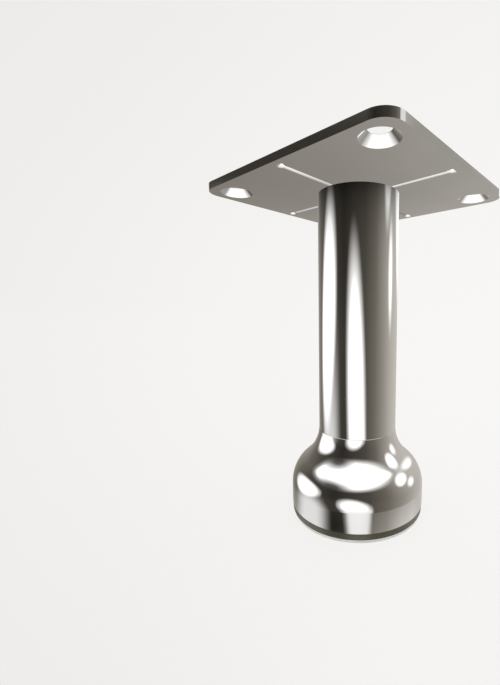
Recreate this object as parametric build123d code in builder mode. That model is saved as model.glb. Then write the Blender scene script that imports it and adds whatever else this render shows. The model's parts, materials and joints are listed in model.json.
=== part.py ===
from build123d import *
from math import acos, asin, atan2, cos, degrees, radians, sin, sqrt, tan
import os

os.makedirs("parts", exist_ok=True)

# Levelling furniture leg in millimetres, standing upright on its foot, +Z up.
# The origin is the centre of the glide pad's underside, with the foot screwed fully in.

# Overall heights
leg_height = 100.0
foot_height = 26.0

# Mounting plate
plate_side = 65.0
plate_t = 2.0
plate_corner_r = 5.0

# Wood screw holes near the plate's corners, countersunk from below
screw_pitch = 51.0
screw_hole_d = 5.2
screw_head_d = 9.1
screw_head_angle = 90.0

# Centring cross engraved in the underside: V-grooves that end in drilled dimples
groove_w = 1.3
groove_angle = 120.0
dimple_d = 2.6
dimple_angle = 118.0
dimple_edge_distance = 2.9

# Leg tube
tube_d = 24.5
tube_wall = 1.0
seam_edge_break = 0.05

# Countersunk socket screw that holds the plate to the tube
plate_screw_d = 8.0
plate_screw_head_d = 16.0
plate_screw_head_land = 0.3
plate_screw_length = 16.0
plate_screw_recess = 0.1
socket_af = 5.0
socket_depth = 2.8

# Cup pressed into the plate for the screw head
cup_floor_t = 1.2

# Threaded slugs pressed into the ends of the tube
top_slug_h = 12.0
foot_slug_h = 14.0
foot_slug_inset = 0.5
slug_chamfer = 0.6

# Levelling bolt
bolt_d = 10.0
bolt_length = 40.0
bolt_head_af = 16.0
bolt_head_h = 6.4
bolt_end_chamfer = 1.0
bolt_head_recess = 0.6

# Bell foot casting
foot_d = 42.0
bell_wall = 3.0
dome_r = 10.3
flare_r = 12.9
flare_lead = 0.95
bell_boss_d = 24.0
bell_boss_recess = 2.5
rib_count = 6
rib_t = 2.0
rib_recess = 5.1

# Base disc that snaps into the bell, and the pad stuck under it
base_t = 2.2
base_step = 0.15
base_edge_bevel = 0.3
pad_t = 0.7
pad_step = 0.35
snap_ring_t = 1.5
snap_ring_h = 3.4
snap_bead = 0.65
snap_bead_h = 0.9
snap_slot_count = 6
snap_slot_w = 4.0

# Clearances
thread_clearance = 0.08
shank_clearance = 0.25
hex_clearance = 0.1
cone_clearance = 0.05
snap_clearance = 0.3

# Levels, counted up from the floor
base_bottom = pad_t
bell_bottom = base_bottom + base_t
plate_bottom = leg_height - plate_t
boss_bottom = bell_bottom + bell_boss_recess
bolt_head_bottom = boss_bottom + bolt_head_recess
bolt_seat = bolt_head_bottom + bolt_head_h
bolt_top = bolt_seat + bolt_length

# Radii that several pieces share
tube_r = tube_d / 2
bore_r = tube_r - tube_wall
foot_r = foot_d / 2
rim_r = foot_r - bell_wall
boss_r = bell_boss_d / 2

# Outline of the bell: a dome arc on the wall, tangent to a flare arc that sweeps up to the tube
flare_x = tube_r + flare_r
flare_z = foot_height + flare_lead
dome_x = foot_r - dome_r
wall_top = flare_z - sqrt((dome_r + flare_r) ** 2 - (flare_x - dome_x) ** 2)
dome_sweep = degrees(atan2(flare_z - wall_top, flare_x - dome_x))
lead_angle = degrees(asin(flare_lead / flare_r))
neck_r = flare_x - flare_r * cos(radians(lead_angle))

# Cup in the plate: a cone that follows the screw head, at the plate's own thickness
cup_cone = tan(radians(screw_head_angle / 2))
cup_mouth_r = plate_screw_head_d / 2 + cone_clearance
cup_hole_r = plate_screw_d / 2 + thread_clearance
cup_depth = (cup_mouth_r - cup_hole_r) / cup_cone + plate_screw_recess + plate_screw_head_land + cup_floor_t
cup_bottom = leg_height - cup_depth
cup_skin = plate_t / cos(radians(screw_head_angle / 2))


def level(height):
    """Return the horizontal plane at a height above the floor."""
    return Plane.XY.offset(height)


def slug(bottom, height, thread_d):
    """Return a steel slug with a threaded hole, chamfered to press into the tube."""
    with BuildPart() as turned:
        with BuildSketch(level(bottom)):
            Circle(bore_r)
            Circle(thread_d / 2 + thread_clearance, mode=Mode.SUBTRACT)
        extrude(amount=height)
        chamfer(turned.edges().filter_by(GeomType.CIRCLE), slug_chamfer)
    return turned.part


# One arm of the centring cross, as the shape that is cut away
groove_depth = groove_w / 2 / tan(radians(groove_angle / 2))
dimple_depth = dimple_d / 2 / tan(radians(dimple_angle / 2))
dimple_x = plate_side / 2 - dimple_edge_distance
with BuildPart() as cross_arm:
    with BuildSketch(Plane.YZ.offset(bore_r)):
        with BuildLine():
            Polyline(
                (-groove_w / 2, plate_bottom),
                (groove_w / 2, plate_bottom),
                (0, plate_bottom + groove_depth),
                close=True,
            )
        make_face()
    extrude(amount=dimple_x - bore_r)
    with Locations((dimple_x, 0, plate_bottom)):
        Cone(dimple_d / 2, 0, dimple_depth, align=(Align.CENTER, Align.CENTER, Align.MIN))


# Mounting plate: stamped square with four countersunk holes, a pressed centre cup and the cross
with BuildPart() as mounting_plate:
    with BuildSketch(level(plate_bottom)):
        RectangleRounded(plate_side, plate_side, plate_corner_r)
    extrude(amount=plate_t)
    underside = mounting_plate.faces().sort_by(Axis.Z)[0]
    with Locations(underside):
        with GridLocations(screw_pitch, screw_pitch, 2, 2):
            CounterSinkHole(screw_hole_d / 2, screw_head_d / 2, counter_sink_angle=screw_head_angle)
    with BuildSketch(Plane.XZ):
        with BuildLine():
            Polyline(
                (0, plate_bottom),
                (cup_mouth_r + cup_skin - (leg_height - plate_bottom) * cup_cone, plate_bottom),
                (cup_hole_r + cup_skin - cup_floor_t * cup_cone, cup_bottom),
                (0, cup_bottom),
                close=True,
            )
        make_face()
    revolve(axis=Axis.Z)
    with BuildSketch(Plane.XZ):
        with BuildLine():
            Polyline(
                (0, leg_height),
                (cup_mouth_r, leg_height),
                (cup_mouth_r, leg_height - plate_screw_recess - plate_screw_head_land),
                (cup_hole_r, cup_bottom + cup_floor_t),
                (cup_hole_r, cup_bottom),
                (0, cup_bottom),
                close=True,
            )
        make_face()
    revolve(axis=Axis.Z, mode=Mode.SUBTRACT)
    with PolarLocations(0, 4):
        add(cross_arm.part, mode=Mode.SUBTRACT)


# Leg tube: drawn steel tube between the foot and the plate
with BuildPart() as leg_tube:
    with BuildSketch(level(foot_height)):
        Circle(tube_r)
        Circle(bore_r, mode=Mode.SUBTRACT)
    extrude(amount=plate_bottom - foot_height)
    lower_rim = leg_tube.edges().filter_by(GeomType.CIRCLE).group_by(Axis.Z)[0].sort_by(SortBy.RADIUS)[-1]
    chamfer(lower_rim, seam_edge_break)


# Slugs in the tube: the upper one seats the plate's cup, the lower one carries the bolt
top_slug = slug(cup_bottom - top_slug_h, top_slug_h, plate_screw_d)
foot_slug = slug(foot_height + foot_slug_inset, foot_slug_h, bolt_d)


# Plate screw: countersunk head just under the plate's top face
screw_top = leg_height - plate_screw_recess
screw_cone_top = screw_top - plate_screw_head_land
screw_cone_h = (plate_screw_head_d - plate_screw_d) / 2 / cup_cone
screw_tip = screw_top - plate_screw_length
with BuildPart() as plate_screw:
    with BuildSketch(Plane.XZ):
        with BuildLine():
            Polyline(
                (0, screw_top),
                (plate_screw_head_d / 2, screw_top),
                (plate_screw_head_d / 2, screw_cone_top),
                (plate_screw_d / 2, screw_cone_top - screw_cone_h),
                (plate_screw_d / 2, screw_tip),
                (0, screw_tip),
                close=True,
            )
        make_face()
    revolve(axis=Axis.Z)
    chamfer(plate_screw.edges().group_by(Axis.Z)[0], bolt_end_chamfer)
    with BuildSketch(level(screw_top)):
        RegularPolygon(socket_af / 2, 6, major_radius=False)
    extrude(amount=-socket_depth, mode=Mode.SUBTRACT)


# Space inside the bell, round the bolt's boss, with the ribs left standing in it.
# Its roof follows the dome in two cones, from the wall up to the boss.
cavity_r = dome_r - bell_wall
cavity_sweep = acos((boss_r - dome_x) / cavity_r)
cavity_top = wall_top + cavity_r * sin(cavity_sweep)
cavity_bend = (dome_x + cavity_r * cos(cavity_sweep / 2), wall_top + cavity_r * sin(cavity_sweep / 2))
snap_groove_bottom = bell_bottom + snap_ring_h - snap_bead_h - snap_clearance
snap_groove_h = snap_bead_h + 2 * snap_clearance
snap_groove_r = rim_r + snap_bead
with BuildPart() as bell_cavity:
    with BuildSketch(Plane.XZ):
        with BuildLine():
            Polyline((boss_r, cavity_top), (boss_r, boss_bottom), (0, boss_bottom), (0, bell_bottom))
            Polyline((0, bell_bottom), (rim_r, bell_bottom), (rim_r, wall_top), cavity_bend, (boss_r, cavity_top))
        make_face()
        with Locations((rim_r, snap_groove_bottom + snap_groove_h / 2)):
            Rectangle(2 * snap_bead, snap_groove_h)
    revolve(axis=Axis.Z)
    with BuildSketch(level(bell_bottom + rib_recess)):
        with PolarLocations(foot_r / 2, rib_count):
            Rectangle(foot_r, rib_t)
    extrude(amount=cavity_top, mode=Mode.SUBTRACT)


# Bell foot: one casting, domed outside, with a hexagon pocket for the bolt's head
with BuildPart() as bell_foot:
    with BuildSketch(Plane.XZ):
        with BuildLine():
            Polyline((neck_r, foot_height), (0, foot_height), (0, bell_bottom))
            Polyline((0, bell_bottom), (foot_r, bell_bottom), (foot_r, wall_top))
            CenterArc((dome_x, wall_top), dome_r, 0, dome_sweep)
            CenterArc((flare_x, flare_z), flare_r, 180 + dome_sweep, lead_angle - dome_sweep)
        make_face()
    revolve(axis=Axis.Z)
    chamfer(bell_foot.edges().filter_by(GeomType.CIRCLE).group_by(Axis.Z)[-1], seam_edge_break)
    add(bell_cavity.part, mode=Mode.SUBTRACT)
    with BuildSketch(level(boss_bottom)):
        RegularPolygon(bolt_head_af / 2 + hex_clearance, 6, major_radius=False)
    extrude(amount=bolt_seat - boss_bottom, mode=Mode.SUBTRACT)
    with BuildSketch(level(bolt_seat)):
        Circle(bolt_d / 2 + shank_clearance)
    extrude(amount=foot_height - bolt_seat, mode=Mode.SUBTRACT)


# Levelling bolt: hexagon head in the bell's pocket, shank up into the lower slug
head_corner_r = bolt_head_af / sqrt(3)
head_face_r = 0.95 * bolt_head_af / 2
head_bevel = (head_corner_r - head_face_r) * tan(radians(30))
with BuildPart() as levelling_bolt:
    with BuildSketch(level(bolt_head_bottom)):
        RegularPolygon(bolt_head_af / 2, 6, major_radius=False)
    extrude(amount=bolt_head_h)
    with BuildSketch(Plane.XZ):
        with BuildLine():
            Polyline(
                (0, bolt_head_bottom),
                (head_face_r, bolt_head_bottom),
                (head_corner_r, bolt_head_bottom + head_bevel),
                (head_corner_r, bolt_seat),
                (0, bolt_seat),
                close=True,
            )
        make_face()
    revolve(axis=Axis.Z, mode=Mode.INTERSECT)
    with BuildSketch(level(bolt_seat)):
        Circle(bolt_d / 2)
    extrude(amount=bolt_length)
    chamfer(levelling_bolt.edges().group_by(Axis.Z)[-1], bolt_end_chamfer)


# Base disc: moulded swivel base whose slotted ring snaps into the groove inside the bell's rim
base_r = foot_r - base_step
ring_r = rim_r - snap_clearance
bead_r = snap_groove_r - snap_clearance
ring_top = bell_bottom + snap_ring_h
with BuildPart() as base_disc:
    with BuildSketch(level(base_bottom)):
        Circle(base_r)
    extrude(amount=base_t)
    chamfer(base_disc.edges().group_by(Axis.Z)[0], base_edge_bevel)
    with BuildSketch(Plane.XZ):
        with BuildLine():
            Polyline(
                (ring_r - snap_ring_t, bell_bottom),
                (ring_r, bell_bottom),
                (ring_r, ring_top - snap_bead_h),
                (bead_r, ring_top - snap_bead_h / 2),
                (ring_r, ring_top),
                (ring_r - snap_ring_t, ring_top),
                close=True,
            )
        make_face()
    revolve(axis=Axis.Z)
    with BuildSketch(level(bell_bottom)):
        with PolarLocations(ring_r, snap_slot_count):
            Rectangle(4 * snap_ring_t, snap_slot_w)
    extrude(amount=snap_ring_h, mode=Mode.SUBTRACT)


# Glide pad: thin disc stuck under the base
with BuildPart() as glide_pad:
    with BuildSketch():
        Circle(base_r - pad_step)
    extrude(amount=pad_t)


pieces = {
    "mounting_plate": mounting_plate.part,
    "leg_tube": leg_tube.part,
    "top_slug": top_slug,
    "foot_slug": foot_slug,
    "plate_screw": plate_screw.part,
    "bell_foot": bell_foot.part,
    "levelling_bolt": levelling_bolt.part,
    "base_disc": base_disc.part,
    "glide_pad": glide_pad.part,
}
for name, piece in pieces.items():
    piece.label = name
    export_step(piece, f"parts/{name}.step")
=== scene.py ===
import json
import math

import bmesh
import bpy
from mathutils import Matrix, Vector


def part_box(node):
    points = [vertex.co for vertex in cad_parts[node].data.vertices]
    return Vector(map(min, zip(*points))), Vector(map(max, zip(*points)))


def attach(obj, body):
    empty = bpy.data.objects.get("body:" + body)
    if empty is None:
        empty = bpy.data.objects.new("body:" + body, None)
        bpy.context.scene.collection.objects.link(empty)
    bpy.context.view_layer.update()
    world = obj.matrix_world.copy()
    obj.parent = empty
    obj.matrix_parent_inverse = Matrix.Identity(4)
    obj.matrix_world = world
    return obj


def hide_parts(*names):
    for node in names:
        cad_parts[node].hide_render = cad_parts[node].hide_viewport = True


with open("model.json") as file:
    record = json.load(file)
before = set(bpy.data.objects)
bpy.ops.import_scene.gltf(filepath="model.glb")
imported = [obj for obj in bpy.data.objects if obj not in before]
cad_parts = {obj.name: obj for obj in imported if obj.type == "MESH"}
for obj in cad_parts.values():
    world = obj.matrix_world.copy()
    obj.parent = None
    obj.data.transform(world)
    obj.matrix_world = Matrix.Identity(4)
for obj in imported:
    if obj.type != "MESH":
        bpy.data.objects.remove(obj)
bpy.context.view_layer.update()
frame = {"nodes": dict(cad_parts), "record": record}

# Polished furniture leg in a plain studio, in metres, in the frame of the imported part. The CAD nodes stay
# where they are and get their finishes. The levelling bolt alone is replaced, by one with its real thread.

MM = 0.001
BLACK = (0.0, 0.0, 0.0)

# The photograph's camera, fitted to the plate's edges, the tube's sides and the foot's rims
IMAGE_WIDTH = 500
IMAGE_HEIGHT = 685
FOCAL_PIXELS = 346.3
CENTRE_X = 342.8
CENTRE_Y = 345.2
SENSOR_WIDTH = 36.0
NEAREST_SEEN = 5.0 * MM
CAMERA_SIDE = math.radians(-141.84)
CAMERA_DISTANCE = 109.4 * MM
CAMERA_HEIGHT = 64.2 * MM
LOOK_HEADING = math.radians(40.61)
LOOK_PITCH = math.radians(-6.11)

# Even light that matt surfaces receive
DAYLIGHT = 1.0

# Ground that the camera sees. It is palest at one heading and height, and darkens away from there, to the
# side and up and down. The fall to the side fades out between two heights, so none shows straight down.
# Heights are sines here, with -1 straight down.
GROUND_COLOR = (0.939, 0.930, 0.913)
GROUND_HEADING = math.radians(13.5)
GROUND_HEIGHT = -0.17
GROUND_FALL_ACROSS = 0.107
GROUND_FALL_UP = 0.078
GROUND_STRAIGHT_DOWN = (-0.98, -0.8)

# Floor: mostly clear to the camera, so that the ground shows through, and matt enough to keep a shadow
FLOOR_RADIUS = 20.0
FLOOR_SIDES = 64
FLOOR_CLEARNESS = 0.9

# Soft oval lamps that the metal mirrors: bearing, height, tilt, half width and half height in degrees,
# then the softness of the edge. Bearing 0 is the side of the leg that the photograph shows, and 90 is a
# quarter turn anticlockwise from there, seen from above.
LAMPS = {
    "front": (-4.2, -14.2, -36.2, 26.4, 20.6, 0.28),
    "right": (-93.7, -1.7, 17.1, 30.3, 17.1, 0.21),
    "left_high": (93.0, 26.8, 30.8, 15.5, 12.0, 0.25),
    "left_low": (105.3, 5.3, -11.0, 8.7, 7.7, 0.46),
    "back": (145.5, 23.0, -36.0, 28.5, 15.2, 0.18),
}

# Levels of a lamp: its field, and the core that starts at a share of the way in. Between two heights in
# degrees the core fades out downward, and the field sinks to its low level.
LAMP_LEVEL = 1.33
LOW_LAMP_LEVEL = 1.16
LAMP_CORE_LEVEL = 1.5
LAMP_CORE_START = 0.75
LAMP_FADE_EDGE = (-29.0, -19.0)

# Weaker glows low on the walls, as ovals like the lamps
GLOWS = {
    "side": (-95.7, -49.1, 56.0, 40.9, 25.7, 0.41),
    "front": (3.9, -26.9, -0.6, 18.5, 13.0, 0.22),
}
GLOW_LEVEL = 0.97

# White ceiling of three ovals, lit as the lamps are, with a dark flag at its edge
CEILING = {
    "middle": (-29.8, 77.7, 14.2, 49.2, 42.3, 0.14),
    "left_end": (98.0, 64.1, -0.2, 26.9, 17.0, 0.14),
    "right_side": (-89.1, 57.8, -0.4, 25.2, 21.0, 0.12),
}
CEILING_FLAG = (-49.4, 35.8, 4.7, 24.1, 11.7, 0.72)
CEILING_FLAG_STRENGTH = 0.933

# White table under the leg, and the heights in degrees between which its edge blurs
TABLE_LEVEL = 2.2
TABLE_EDGE = (-57.5, -33.5)

# Grey walls in three bands: level at every 30 degrees from the darkest bearing round to the lightest,
# then the heights in degrees between which one band turns into the next. Dark grey is a little warm.
DARKEST_BEARING = math.radians(-38.8)
HIGH_WALL = (0.032, 0.056, 0.078, 0.161, 0.375, 0.586, 0.620)
LOW_WALL = (0.049, 0.070, 0.088, 0.172, 0.338, 0.520, 0.600)
WALL_FOOT = (0.012, 0.023, 0.209, 0.380, 0.785, 1.0, 0.566)
HIGH_WALL_EDGE = (-9.8, 9.7)
WALL_FOOT_EDGE = (-36.8, -27.0)
DARK_TINT = (1.11, 1.0, 0.83)

# Spans of a noise pattern's values that a finish spreads over its whole range
NARROW_SPAN = (0.35, 0.65)
WIDE_SPAN = (0.3, 0.7)
RUBBED_SPAN = (0.35, 0.7)
WORN_SPAN = (0.3, 0.65)

# Chrome of the tube and the foot. A pattern's scale is its features in a metre: one number for a cloud, or
# one for each axis for lines.
TUBE_COLOR = (0.79, 0.78, 0.765)
TUBE_LINES = (60.0, 60.0, 9000.0)
FOOT_COLOR = (0.74, 0.731, 0.717)
FOOT_LINES = (60.0, 60.0, 6000.0)
FOOT_MOTTLE = 1.03
CHROME_HAZE = 140.0
CHROME_HAZE_SHARE = 0.6
CHROME_ROUGHNESS = (0.025, 0.055)
CHROME_RELIEF = 0.00006 * MM

# Painted shade on the chrome: the tube is darker just under the plate, and on the broken edges of its seam
# with the foot
UNDER_PLATE_PAINTED_SHADE = 0.74
UNDER_PLATE_SHADE_REACH = 8.5 * MM
SEAM_SHADE = 0.5
SEAM_HALF_WIDTH = 0.06 * MM

# Plated sheet of the mounting plate, with painted shade that makes it darker towards the tube and on its
# sheared edges, which are the faces that stand upright
PLATE_COLOR = (0.535, 0.529, 0.518)
PLATE_LINES = (40.0, 5000.0, 40.0)
PLATE_MOTTLE = 0.965
PLATE_CLOUD = 110.0
PLATE_CLOUD_SHARE = 0.5
PLATE_ROUGHNESS = (0.035, 0.075)
PLATE_RELIEF = 0.00008 * MM
TUBE_SHADE = 0.85
TUBE_SHADE_RADII = (10.0 * MM, 38.0 * MM)
UPRIGHT_FACE_SHADE = 0.86
UPRIGHT_FACE_SPAN = (0.2, 0.5)

# Engraved cross: how dark the painted shade on its lips is, and where it lies, by its half width, the reach
# of its arms and its depth into the sheet
CROSS_SHADE = 0.5
CROSS_HALF_WIDTH = 1.4 * MM
CROSS_REACH = 30.0 * MM
CROSS_DEPTHS = (0.005 * MM, 0.34 * MM)

# Zinc-plated steel of the inner pieces
ZINC_COLORS = ((0.50, 0.51, 0.52), (0.66, 0.65, 0.62))
ZINC_CLOUD = 220.0
ZINC_LINES = (80.0, 80.0, 7000.0)
ZINC_ROUGHNESS = (0.22, 0.38)
ZINC_RELIEF = 0.0012 * MM

# Dark plastic of the base
PLASTIC_COLORS = ((0.046, 0.042, 0.028), (0.070, 0.064, 0.046))
PLASTIC_IOR = 1.6
PLASTIC_GLOSS_TINT = (1.0, 0.98, 0.86, 1.0)
PLASTIC_GRAIN = 5200.0
PLASTIC_RUBBED = 160.0
PLASTIC_ROUGHNESS = (0.16, 0.30)
PLASTIC_RELIEF = 0.004 * MM

# Light nylon of the pad
NYLON_COLORS = ((0.66, 0.64, 0.60), (0.78, 0.765, 0.735))
NYLON_GRAIN = 3600.0
NYLON_GREY = 240.0
NYLON_ROUGHNESS = (0.45, 0.65)
NYLON_RELIEF = 0.008 * MM

# Levelling bolt: a hexagon head with its lower corners turned off, and a coarse metric thread. The thread's
# depth, flat root and flat crest are shares of its pitch. Its skin starts some turns low, and is then cut to
# length.
BOLT_RADIUS = 5.0 * MM
HEAD_SIDES = 6
HEAD_HEIGHT = 6.4 * MM
HEAD_BEVEL = 0.6 * MM
HEAD_BEVEL_SLOPE = 1.5
END_CHAMFER = 1.0 * MM
THREAD_DEPTH = 0.613
THREAD_ROOT = (0.0, 0.25)
THREAD_CREST = (0.5625, 0.6875)
THREAD_LEAD_IN = 1.5
SPARE_TURNS = 2
TURN_STEPS = 48


def add(tree, kind, inputs=None, **settings):
    """Add a node, set its settings, and give each named or numbered input a value or a link."""
    node = tree.nodes.new(kind)
    for name, value in settings.items():
        setattr(node, name, value)
    for key, value in (inputs or {}).items():
        if isinstance(value, bpy.types.NodeSocket):
            tree.links.new(value, node.inputs[key])
        else:
            node.inputs[key].default_value = value
    return node


def math_node(tree, operation, first, second=0.0):
    """Result of one arithmetic step."""
    return add(tree, "ShaderNodeMath", {0: first, 1: second}, operation=operation).outputs[0]


def times(tree, first, second):
    """Product of two values."""
    return math_node(tree, "MULTIPLY", first, second)


def rest_of(tree, share):
    """What a share leaves of 1."""
    return math_node(tree, "SUBTRACT", 1.0, share)


def blend(tree, share, first, second):
    """Share of the first value and the rest of the second."""
    return math_node(tree, "ADD", times(tree, first, share), times(tree, second, 1.0 - share))


def remap(tree, value, span, to_low=0.0, to_high=1.0, smooth=True):
    """Value carried from a span to another range, clamped, with soft ends if smooth."""
    kind = "SMOOTHSTEP" if smooth else "LINEAR"
    limits = {"Value": value, "From Min": span[0], "From Max": span[1], "To Min": to_low, "To Max": to_high}
    return add(tree, "ShaderNodeMapRange", limits, interpolation_type=kind).outputs[0]


def by_height(tree, height, edge, below=0.0, above=1.0):
    """Value that turns from one to another between two heights above the horizon, given in degrees."""
    sines = [math.sin(math.radians(degrees)) for degrees in edge]
    return remap(tree, height, sines, below, above)


def mix_color(tree, share, first, second):
    """Blend of two colours."""
    node = add(tree, "ShaderNodeMix", data_type="RGBA")
    for key, value in ((0, share), (6, first), (7, second)):
        if isinstance(value, bpy.types.NodeSocket):
            tree.links.new(value, node.inputs[key])
        else:
            node.inputs[key].default_value = value if key == 0 else (*value, 1.0)
    return node.outputs[2]


def axes(tree, vector):
    """X, Y and Z of a place or a direction."""
    return add(tree, "ShaderNodeSeparateXYZ", {0: vector}).outputs


def scaled(tree, vector, factors):
    """Vector with each axis multiplied by its own factor."""
    return add(tree, "ShaderNodeVectorMath", {0: vector, 1: factors}, operation="MULTIPLY").outputs[0]


def length(tree, vector):
    """Length of a vector."""
    return add(tree, "ShaderNodeVectorMath", {0: vector}, operation="LENGTH").outputs["Value"]


def turned_back(tree, direction, heading):
    """Direction as seen from a heading, turned about the upright axis."""
    turn = {"Vector": direction, "Angle": -heading}
    return add(tree, "ShaderNodeVectorRotate", turn, rotation_type="Z_AXIS").outputs[0]


def noise(tree, place, scale, detail=2.0, roughness=0.5):
    """Grey pattern from 0 to 1: a cloud, or lines where the scale is given for each axis."""
    if isinstance(scale, tuple):
        place = add(tree, "ShaderNodeMapping", {"Vector": place, "Scale": scale}).outputs[0]
        scale = 1.0
    settings = {"Vector": place, "Scale": scale, "Detail": detail, "Roughness": roughness}
    return add(tree, "ShaderNodeTexNoise", settings).outputs["Fac"]


def new_object(name, data):
    """Object made from its data, in the scene."""
    thing = bpy.data.objects.new(name, data)
    bpy.context.scene.collection.objects.link(thing)
    return thing


def make_camera():
    """Camera at the photograph's place, with the photograph's off-centre crop as a lens shift."""
    data = bpy.data.cameras.new("photo_camera")
    data.sensor_width = SENSOR_WIDTH
    data.lens = SENSOR_WIDTH * FOCAL_PIXELS / IMAGE_HEIGHT
    data.shift_x = (IMAGE_WIDTH / 2 - CENTRE_X) / IMAGE_HEIGHT
    data.shift_y = (CENTRE_Y - IMAGE_HEIGHT / 2) / IMAGE_HEIGHT
    data.clip_start = NEAREST_SEEN
    camera = new_object("photo_camera", data)
    across = CAMERA_DISTANCE * math.cos(CAMERA_SIDE)
    along = CAMERA_DISTANCE * math.sin(CAMERA_SIDE)
    camera.location = (across, along, CAMERA_HEIGHT)
    camera.rotation_euler = (math.pi / 2 + LOOK_PITCH, 0.0, LOOK_HEADING - math.pi / 2)
    bpy.context.scene.camera = camera


def soft_lamp(tree, direction, lamp):
    """Mask of one soft oval lamp in the studio, 1 inside it."""
    bearing, height, tilt, half_width, half_height, softness = lamp
    lie = {
        "Vector": direction,
        "Rotation": [math.radians(angle) for angle in (tilt, -height, bearing)],
        "Scale": (1.0, math.sin(math.radians(half_width)), math.sin(math.radians(half_height))),
    }
    own = add(tree, "ShaderNodeMapping", lie, vector_type="TEXTURE").outputs[0]
    reach = length(tree, scaled(tree, own, (0.0, 1.0, 1.0)))
    oval = remap(tree, reach, (1 - softness, 1 + softness), 1.0, 0.0)
    return times(tree, oval, math_node(tree, "GREATER_THAN", axes(tree, own)["X"], 0.0))


def ground(tree, direction):
    """Colour of the ground that shows in one direction."""
    parts = axes(tree, turned_back(tree, direction, GROUND_HEADING))
    heading = math_node(tree, "ARCTAN2", parts["Y"], parts["X"])
    across = rest_of(tree, math_node(tree, "COSINE", heading))
    across = times(tree, across, remap(tree, parts["Z"], GROUND_STRAIGHT_DOWN, 0.0, GROUND_FALL_ACROSS))
    up = math_node(tree, "POWER", math_node(tree, "SUBTRACT", parts["Z"], GROUND_HEIGHT), 2.0)
    fall = math_node(tree, "ADD", across, times(tree, up, GROUND_FALL_UP))
    return mix_color(tree, fall, GROUND_COLOR, BLACK)


def wall_band(tree, away, levels):
    """Grey of the studio's walls by the angle from their darkest bearing, as a share of half a turn."""
    band = add(tree, "ShaderNodeValToRGB", {"Fac": away})
    stops = band.color_ramp.elements
    while len(stops) < len(levels):
        stops.new(0.5)
    for index, level in enumerate(levels):
        tint = [1.0 + (share - 1.0) * (1.0 - level) for share in DARK_TINT]
        stops[index].position = index / (len(levels) - 1)
        stops[index].color = (level * tint[0], level * tint[1], level * tint[2], 1.0)
    return band.outputs["Color"]


def studio_walls(tree, bearings):
    """Grey walls of the studio in three bands."""
    parts = axes(tree, turned_back(tree, bearings, DARKEST_BEARING))
    angle = math_node(tree, "ARCTAN2", parts["Y"], parts["X"])
    away = math_node(tree, "DIVIDE", math_node(tree, "ABSOLUTE", angle), math.pi)
    high = by_height(tree, parts["Z"], HIGH_WALL_EDGE)
    walls = mix_color(tree, high, wall_band(tree, away, LOW_WALL), wall_band(tree, away, HIGH_WALL))
    foot = by_height(tree, parts["Z"], WALL_FOOT_EDGE, 1.0, 0.0)
    return mix_color(tree, foot, walls, wall_band(tree, away, WALL_FOOT))


def ceiling_mask(tree, bearings):
    """Mask of the white ceiling, 1 inside any of its ovals and not behind the flag."""
    outside = 1.0
    for oval in CEILING.values():
        outside = times(tree, outside, rest_of(tree, soft_lamp(tree, bearings, oval)))
    flag = times(tree, soft_lamp(tree, bearings, CEILING_FLAG), CEILING_FLAG_STRENGTH)
    return times(tree, rest_of(tree, flag), rest_of(tree, outside))


def studio_light(tree, bearings):
    """What the metal mirrors in each direction."""
    height = axes(tree, bearings)["Z"]
    light = studio_walls(tree, bearings)
    for glow in GLOWS.values():
        light = mix_color(tree, soft_lamp(tree, bearings, glow), light, (GLOW_LEVEL,) * 3)
    masks = [soft_lamp(tree, bearings, lamp) for lamp in LAMPS.values()]
    masks.append(ceiling_mask(tree, bearings))
    level = by_height(tree, height, LAMP_FADE_EDGE, LOW_LAMP_LEVEL, LAMP_LEVEL)
    core_fade = by_height(tree, height, LAMP_FADE_EDGE)
    for mask in masks:
        light = mix_color(tree, mask, light, level)
        core = times(tree, remap(tree, mask, (LAMP_CORE_START, 1.0)), core_fade)
        light = mix_color(tree, core, light, (LAMP_CORE_LEVEL,) * 3)
    table = by_height(tree, height, TABLE_EDGE, 1.0, 0.0)
    return mix_color(tree, table, light, (TABLE_LEVEL,) * 3)


def make_studio():
    """World: pale ground for the camera, an even light for matt surfaces, and lamps for the metal."""
    world = bpy.data.worlds.new("studio")
    bpy.context.scene.world = world
    world.use_nodes = True
    world.cycles.sampling_method = "NONE"
    tree = world.node_tree
    tree.nodes.clear()
    outward = add(tree, "ShaderNodeTexCoord").outputs["Generated"]
    studio = studio_light(tree, turned_back(tree, outward, CAMERA_SIDE))
    ray = add(tree, "ShaderNodeLightPath").outputs
    seen = mix_color(tree, ray["Is Glossy Ray"], (DAYLIGHT,) * 3, studio)
    seen = mix_color(tree, ray["Is Camera Ray"], seen, ground(tree, outward))
    background = add(tree, "ShaderNodeBackground", {"Color": seen})
    add(tree, "ShaderNodeOutputWorld", {"Surface": background.outputs[0]})


def make_floor():
    """Pale floor that keeps the leg's soft shadow, and stays under the pad when the foot is screwed out."""
    mesh = bpy.data.meshes.new("floor")
    shape = bmesh.new()
    bmesh.ops.create_circle(shape, cap_ends=True, segments=FLOOR_SIDES, radius=FLOOR_RADIUS)
    shape.to_mesh(mesh)
    shape.free()
    floor = new_object("floor", mesh)
    floor.visible_glossy = False
    material = bpy.data.materials.new("floor")
    material.use_nodes = True
    tree = material.node_tree
    tree.nodes.clear()
    matt = add(tree, "ShaderNodeBsdfDiffuse", {"Color": (*GROUND_COLOR, 1.0)})
    clear = add(tree, "ShaderNodeBsdfTransparent")
    share = times(tree, add(tree, "ShaderNodeLightPath").outputs["Is Camera Ray"], FLOOR_CLEARNESS)
    both = add(tree, "ShaderNodeMixShader", {0: share, 1: matt.outputs[0], 2: clear.outputs[0]})
    add(tree, "ShaderNodeOutputMaterial", {"Surface": both.outputs[0]})
    mesh.materials.append(material)
    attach(floor, "glide")


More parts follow.
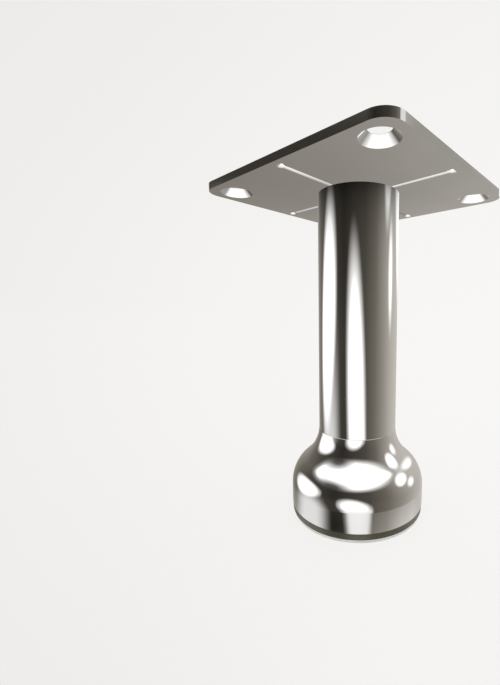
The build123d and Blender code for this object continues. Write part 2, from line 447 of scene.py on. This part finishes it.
def new_material(name, metallic):
    """Node material with a Principled shader alone, its tree, and the place on the piece."""
    material = bpy.data.materials.new(name)
    material.use_nodes = True
    tree = material.node_tree
    tree.nodes.clear()
    shader = add(tree, "ShaderNodeBsdfPrincipled", {"Metallic": metallic})
    add(tree, "ShaderNodeOutputMaterial", {"Surface": shader.outputs[0]})
    place = add(tree, "ShaderNodeTexCoord").outputs["Object"]
    return material, tree, shader, place


def give(node, material):
    """Put one material on every slot of a CAD node."""
    slots = frame["nodes"][node].data.materials
    if not slots:
        slots.append(material)
    for index in range(len(slots)):
        slots[index] = material


def set_color(tree, shader, color):
    """Colour of a finish, from a pattern."""
    tree.links.new(color, shader.inputs["Base Color"])


def set_roughness(tree, shader, pattern, span, limits):
    """Roughness between two limits, by a pattern."""
    tree.links.new(remap(tree, pattern, span, *limits), shader.inputs["Roughness"])


def set_relief(tree, shader, pattern, depth):
    """Bump whose full height is a depth in metres."""
    bump = add(tree, "ShaderNodeBump", {"Height": pattern, "Strength": 1.0, "Distance": depth})
    tree.links.new(bump.outputs[0], shader.inputs["Normal"])


def make_chrome(name, lines):
    """Mirror-polished chrome: faint haze and fine polishing lines round the piece."""
    material, tree, shader, place = new_material(name, 1.0)
    cloud = noise(tree, place, CHROME_HAZE, detail=5.0)
    polish = noise(tree, place, lines, detail=3.0, roughness=0.6)
    haze = blend(tree, CHROME_HAZE_SHARE, cloud, polish)
    set_roughness(tree, shader, haze, NARROW_SPAN, CHROME_ROUGHNESS)
    set_relief(tree, shader, polish, CHROME_RELIEF)
    return material, tree, shader, axes(tree, place)["Z"], haze


def paint_seam_shade(tree, height, color):
    """Colour with painted shade on the broken edges where the tube meets the bell."""
    from_seam = math_node(tree, "ABSOLUTE", math_node(tree, "SUBTRACT", height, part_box("leg_tube")[0][2]))
    # Painted shade in the narrow joint between tube and bell
    seam_shade_mask = math_node(tree, "LESS_THAN", from_seam, SEAM_HALF_WIDTH)
    return mix_color(tree, times(tree, seam_shade_mask, 1.0 - SEAM_SHADE), color, BLACK)


def make_tube_chrome():
    """Chrome of the tube, with painted shade that darkens it just under the plate, which shades it."""
    material, tree, shader, height, _ = make_chrome("tube_chrome", TUBE_LINES)
    # Painted shade: the colour darkens towards the top of the tube, where the plate shades it
    from_top = math_node(tree, "SUBTRACT", height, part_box("leg_tube")[1][2])
    under_plate_shade = math_node(tree, "EXPONENT", math_node(tree, "DIVIDE", from_top, UNDER_PLATE_SHADE_REACH))
    color = mix_color(tree, times(tree, under_plate_shade, UNDER_PLATE_PAINTED_SHADE), TUBE_COLOR, BLACK)
    set_color(tree, shader, paint_seam_shade(tree, height, color))
    return material


def make_foot_chrome():
    """Chrome of the bell, with the slight unevenness of a polished casting."""
    material, tree, shader, height, haze = make_chrome("foot_chrome", FOOT_LINES)
    bright = tuple(share * FOOT_MOTTLE for share in FOOT_COLOR)
    set_color(tree, shader, paint_seam_shade(tree, height, mix_color(tree, haze, FOOT_COLOR, bright)))
    return material


def cross_lip_shade_mask(tree, place):
    """Mask of the painted shade in the engraved cross, 1 at the lips of its grooves and 0 at their floor."""
    parts = axes(tree, place)
    along, across = (math_node(tree, "ABSOLUTE", parts[axis]) for axis in ("X", "Y"))
    depth = math_node(tree, "SUBTRACT", parts["Z"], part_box("leg_tube")[1][2])
    tests = [
        math_node(tree, "LESS_THAN", math_node(tree, "MINIMUM", along, across), CROSS_HALF_WIDTH),
        math_node(tree, "LESS_THAN", math_node(tree, "MAXIMUM", along, across), CROSS_REACH),
        math_node(tree, "GREATER_THAN", depth, CROSS_DEPTHS[0]),
        remap(tree, depth, CROSS_DEPTHS, 1.0, 0.0, smooth=False),
    ]
    mask = tests[0]
    for test in tests[1:]:
        mask = times(tree, mask, test)
    return mask


def painted_plate_shade(tree, place):
    """Painted shade of the sheet: darker towards the tube, which shades it, and on the sheared edges."""
    radius = length(tree, scaled(tree, place, (1.0, 1.0, 0.0)))
    # Painted shade: darker close to the tube
    light = remap(tree, radius, TUBE_SHADE_RADII, TUBE_SHADE, 1.0)
    # Painted shade on the faces that stand upright
    normal = add(tree, "ShaderNodeNewGeometry").outputs["Normal"]
    level = math_node(tree, "ABSOLUTE", axes(tree, normal)["Z"])
    return times(tree, light, remap(tree, level, UPRIGHT_FACE_SPAN, UPRIGHT_FACE_SHADE, 1.0))


def make_plate_metal():
    """Polished plated sheet: rolling lines along one side, faint mottle, a softer gloss than chrome, and
    painted shade.
    """
    material, tree, shader, place = new_material("plate_metal", 1.0)
    cloud = noise(tree, place, PLATE_CLOUD, detail=6.0)
    rolling = noise(tree, place, PLATE_LINES)
    grain = blend(tree, PLATE_CLOUD_SHARE, cloud, rolling)
    darker = tuple(share * PLATE_MOTTLE for share in PLATE_COLOR)
    sheet = mix_color(tree, remap(tree, grain, NARROW_SPAN), darker, PLATE_COLOR)
    shaded = {0: sheet, "Scale": painted_plate_shade(tree, place)}
    sheet = add(tree, "ShaderNodeVectorMath", shaded, operation="SCALE").outputs[0]
    # Painted shade on the lips of the engraved grooves
    lip_shade = times(tree, cross_lip_shade_mask(tree, place), 1.0 - CROSS_SHADE)
    set_color(tree, shader, mix_color(tree, lip_shade, sheet, BLACK))
    set_roughness(tree, shader, grain, NARROW_SPAN, PLATE_ROUGHNESS)
    set_relief(tree, shader, rolling, PLATE_RELIEF)
    return material


def make_zinc_steel():
    """Zinc-plated turned steel: rings from the lathe tool and a cloudy passivated colour."""
    material, tree, shader, place = new_material("zinc_steel", 1.0)
    cloud = noise(tree, place, ZINC_CLOUD, detail=5.0)
    rings = noise(tree, place, ZINC_LINES)
    set_color(tree, shader, mix_color(tree, remap(tree, cloud, WIDE_SPAN), *ZINC_COLORS))
    set_roughness(tree, shader, rings, WIDE_SPAN, ZINC_ROUGHNESS)
    set_relief(tree, shader, rings, ZINC_RELIEF)
    return material


def make_base_plastic():
    """Dark moulded plastic: a fine sparked grain, and paler patches where it has rubbed."""
    material, tree, shader, place = new_material("base_plastic", 0.0)
    grain = noise(tree, place, PLASTIC_GRAIN, detail=3.0, roughness=0.6)
    rubbed = noise(tree, place, PLASTIC_RUBBED, detail=5.0, roughness=0.6)
    set_color(tree, shader, mix_color(tree, remap(tree, rubbed, RUBBED_SPAN), *PLASTIC_COLORS))
    set_roughness(tree, shader, grain, WIDE_SPAN, PLASTIC_ROUGHNESS)
    shader.inputs["IOR"].default_value = PLASTIC_IOR
    shader.inputs["Specular Tint"].default_value = PLASTIC_GLOSS_TINT
    set_relief(tree, shader, grain, PLASTIC_RELIEF)
    return material


def make_pad_nylon():
    """Off-white nylon: slightly waxy, with a fine grain and a little grey picked up from floors."""
    material, tree, shader, place = new_material("pad_nylon", 0.0)
    grain = noise(tree, place, NYLON_GRAIN)
    grey = noise(tree, place, NYLON_GREY, detail=6.0, roughness=0.65)
    set_color(tree, shader, mix_color(tree, remap(tree, grey, WORN_SPAN), *NYLON_COLORS))
    set_roughness(tree, shader, grain, WIDE_SPAN, NYLON_ROUGHNESS)
    set_relief(tree, shader, grain, NYLON_RELIEF)
    return material


def around(radius, angle, height):
    """Point at a radius and an angle from the upright axis."""
    return radius * math.cos(angle), radius * math.sin(angle), height


def add_threaded_shank(shape, pitch, bottom, top):
    """Helical skin between two heights, cut flat at both ends and chamfered at the top."""
    root = BOLT_RADIUS - THREAD_DEPTH * pitch
    profile = [(phase, root) for phase in THREAD_ROOT] + [(phase, BOLT_RADIUS) for phase in THREAD_CREST]
    steps = (math.ceil((top - bottom) / pitch) + SPARE_TURNS) * TURN_STEPS
    rows = []
    for step in range(steps + 1):
        angle = math.tau * step / TURN_STEPS
        row = []
        for phase, radius in profile:
            height = bottom + pitch * (step / TURN_STEPS + phase - THREAD_LEAD_IN)
            chamfer = BOLT_RADIUS - END_CHAMFER + max(top - height, 0.0)
            row.append(shape.verts.new(around(min(radius, chamfer), angle, height)))
        rows.append(row)
    for step in range(steps):
        here, beside = rows[step], rows[step + 1]
        for index in range(len(profile) - 1):
            shape.faces.new((here[index], beside[index], beside[index + 1], here[index + 1]))
        if step + TURN_STEPS < steps:
            above, above_beside = rows[step + TURN_STEPS], rows[step + TURN_STEPS + 1]
            shape.faces.new((here[-1], beside[-1], above_beside[0], above[0]))
    for height, direction in ((bottom, -1.0), (top, 1.0)):
        everything = shape.verts[:] + shape.edges[:] + shape.faces[:]
        plane = {"plane_co": (0.0, 0.0, height), "plane_no": (0.0, 0.0, direction)}
        cut = bmesh.ops.bisect_plane(shape, geom=everything, clear_outer=True, **plane)["geom_cut"]
        rim = [item for item in cut if isinstance(item, bmesh.types.BMEdge)]
        bmesh.ops.contextual_create(shape, geom=rim)


def add_hexagon_head(shape, bottom, top, corner):
    """Hexagon head whose lower corners are turned off."""
    outline = (
        (bottom, corner - HEAD_BEVEL * HEAD_BEVEL_SLOPE),
        (bottom + HEAD_BEVEL, corner),
        (top, corner),
    )
    angles = [math.tau * side / HEAD_SIDES for side in range(HEAD_SIDES)]
    rings = []
    for height, radius in outline:
        rings.append([shape.verts.new(around(radius, angle, height)) for angle in angles])
    for lower, upper in zip(rings, rings[1:]):
        for side in range(HEAD_SIDES):
            after = (side + 1) % HEAD_SIDES
            shape.faces.new((lower[side], lower[after], upper[after], upper[side]))
    shape.faces.new(reversed(rings[0]))
    shape.faces.new(rings[-1])


def make_bolt(material):
    """Levelling bolt with its real thread, in place of the smooth CAD bolt."""
    low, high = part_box("levelling_bolt")
    pitch = math.tau / frame["record"]["behaviour"]["couplings"][0]["ratio"]
    seat = low[2] + HEAD_HEIGHT
    shape = bmesh.new()
    add_threaded_shank(shape, pitch, seat - HEAD_BEVEL, high[2])
    add_hexagon_head(shape, low[2], seat, high[0])
    bmesh.ops.recalc_face_normals(shape, faces=shape.faces[:])
    mesh = bpy.data.meshes.new("threaded_bolt")
    shape.to_mesh(mesh)
    shape.free()
    mesh.materials.append(material)
    bolt = new_object("threaded_bolt", mesh)
    bolt.visible_glossy = False
    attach(bolt, "foot")
    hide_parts("levelling_bolt")


make_camera()
make_studio()
make_floor()

zinc_steel = make_zinc_steel()
give("mounting_plate", make_plate_metal())
give("leg_tube", make_tube_chrome())
give("bell_foot", make_foot_chrome())
for inner in ("top_slug", "foot_slug", "plate_screw", "levelling_bolt"):
    give(inner, zinc_steel)
give("base_disc", make_base_plastic())
give("glide_pad", make_pad_nylon())
make_bolt(zinc_steel)

# The metal mirrors the studio alone, as in the photograph
for node in frame["nodes"].values():
    node.visible_glossy = False

bpy.context.scene.view_settings.view_transform = "Standard"
